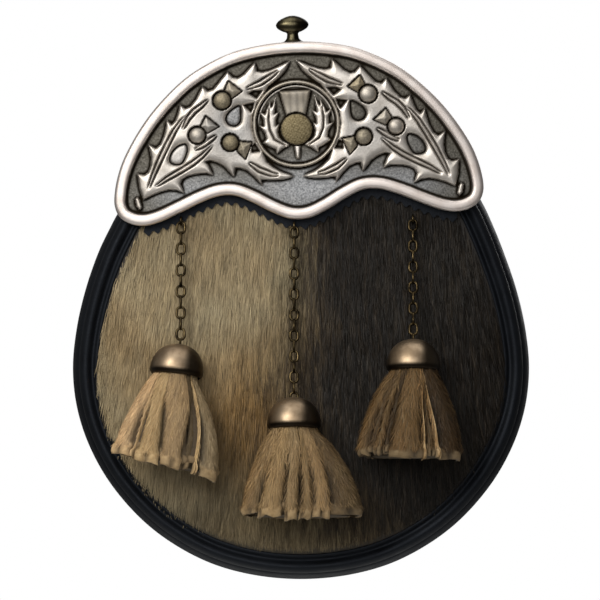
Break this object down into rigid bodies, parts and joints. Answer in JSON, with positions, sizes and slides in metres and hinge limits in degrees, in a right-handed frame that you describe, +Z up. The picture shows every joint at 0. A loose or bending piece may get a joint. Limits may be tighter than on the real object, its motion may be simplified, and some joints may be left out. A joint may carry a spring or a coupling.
{
  "type": "sporran pouch",
  "caption": "Day-wear sporran: rounded hair-on hide pouch with a cast thistle cantle, hanging chains with hide tassels, a flap mouth at the back and belt loops.",
  "frame": {"origin": "on the back panel, midway between the two belt loops, at the height where the strap runs", "axes": "+X to the viewer's right seen from the front, -Y towards the front, +Z up as it hangs"},
  "size_m": [0.1928, 0.0738, 0.2372],
  "materials": {
    "cast_metal": "cast white metal, polished rim and relief, darkened grained field",
    "dark_brass": "dark antique",
    "aged_bronze": "antiqued and polished",
    "black_leather": "smooth, semi-matt",
    "hair_on_hide": "hair left on, blond to near black",
    "tan_hide": "hair left on, pale cut ends"
  },
  "bodies": {
    "root": {"back_flap": "black_leather", "back_panel": "black_leather", "bell_cap_centre": "aged_bronze", "bell_cap_left": "aged_bronze", "bell_cap_right": "aged_bronze", "belt_loop_left": "black_leather", "belt_loop_right": "black_leather", "cantle": "cast_metal", "chain_staple_centre": "dark_brass", "chain_staple_left": "dark_brass", "chain_staple_right": "dark_brass", "flap_snap": "dark_brass", "front_panel": "hair_on_hide", "front_welt": "black_leather", "gusset": "black_leather", "link_centre_01": "dark_brass", "link_centre_02": "dark_brass", "link_centre_03": "dark_brass", "link_centre_04": "dark_brass", "link_centre_05": "dark_brass", "link_centre_06": "dark_brass", "link_centre_07": "dark_brass", "link_centre_08": "dark_brass", "link_centre_09": "dark_brass", "link_centre_10": "dark_brass", "link_centre_11": "dark_brass", "link_centre_12": "dark_brass", "link_centre_13": "dark_brass", "link_centre_14": "dark_brass", "link_centre_15": "dark_brass", "link_centre_16": "dark_brass", "link_left_01": "dark_brass", "link_left_02": "dark_brass", "link_left_03": "dark_brass", "link_left_04": "dark_brass", "link_left_05": "dark_brass", "link_left_06": "dark_brass", "link_left_07": "dark_brass", "link_left_08": "dark_brass", "link_left_09": "dark_brass", "link_left_10": "dark_brass", "link_left_11": "dark_brass", "link_right_01": "dark_brass", "link_right_02": "dark_brass", "link_right_03": "dark_brass", "link_right_04": "dark_brass", "link_right_05": "dark_brass", "link_right_06": "dark_brass", "link_right_07": "dark_brass", "link_right_08": "dark_brass", "link_right_09": "dark_brass", "link_right_10": "dark_brass", "link_right_11": "dark_brass", "pinked_strip": "black_leather", "tassel_centre": "tan_hide", "tassel_left": "tan_hide", "tassel_right": "tan_hide", "top_knob": "dark_brass"}
  },
  "joints": []
}
